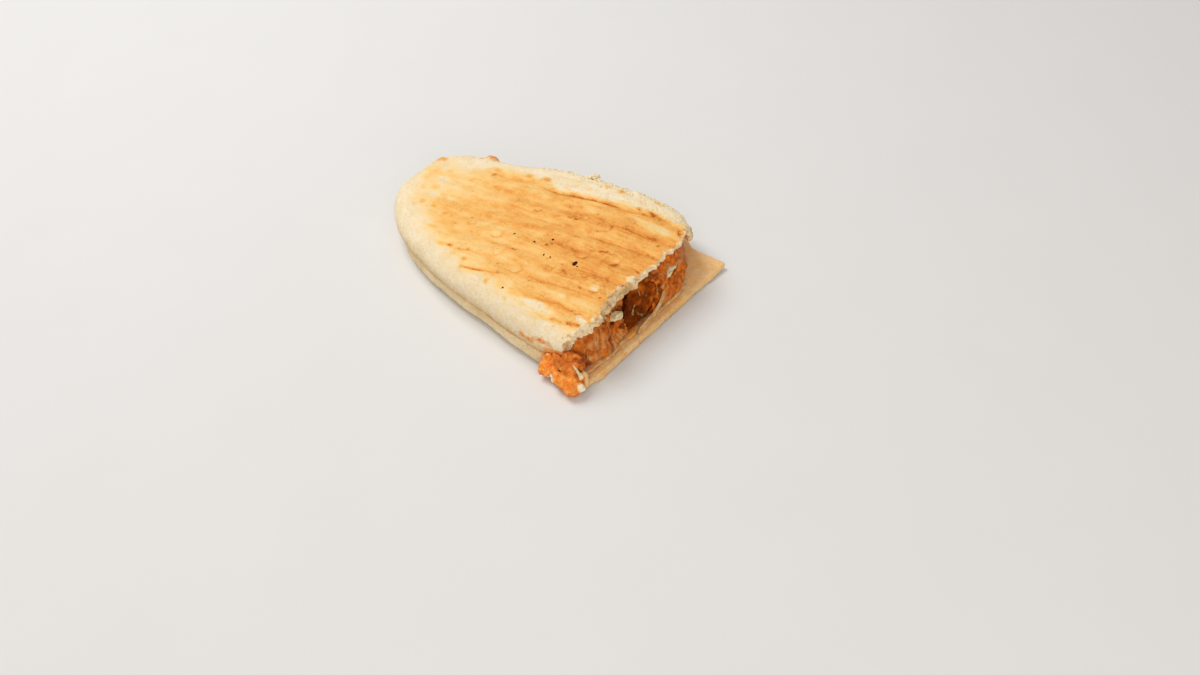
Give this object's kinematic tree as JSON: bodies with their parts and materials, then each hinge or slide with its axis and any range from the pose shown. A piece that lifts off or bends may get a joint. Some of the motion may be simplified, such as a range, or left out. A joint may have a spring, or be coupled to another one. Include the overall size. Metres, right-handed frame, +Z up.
{
  "type": "grilled panini sandwich half",
  "caption": "Half of a pressed and grilled long roll with rib marks, cut across to show sauced chicken, melted cheese and roasted pepper.",
  "frame": {"origin": "middle of the footprint, on the surface that the lower slice lies on", "axes": "+X along the roll towards the cut, +Z up through the pressed top"},
  "size_m": [0.1298, 0.0906, 0.0217],
  "materials": {
    "crust": "golden toasted bread crust, satin dry, paler at the sides",
    "lower_crust": "toasted bread crust outside, pale crumb inside",
    "filling": "shredded chicken in moist orange sauce",
    "cheese": "melted pale cheese, soft sheen",
    "pepper": "dark browned skin, wet sheen",
    "onion": "soft cooked onion, moist",
    "sauce": "grainy bright orange sauce, moist"
  },
  "bodies": {
    "root": {"upper_slice": "crust", "lower_slice": "lower_crust", "chicken_filling": "filling", "melted_cheese": "cheese", "cheese_ribbon": "cheese", "cheese_pull": "cheese", "roasted_pepper": "pepper", "onion_piece_1": "onion", "onion_piece_2": "onion", "sauce_ooze": "sauce"}
  },
  "joints": []
}
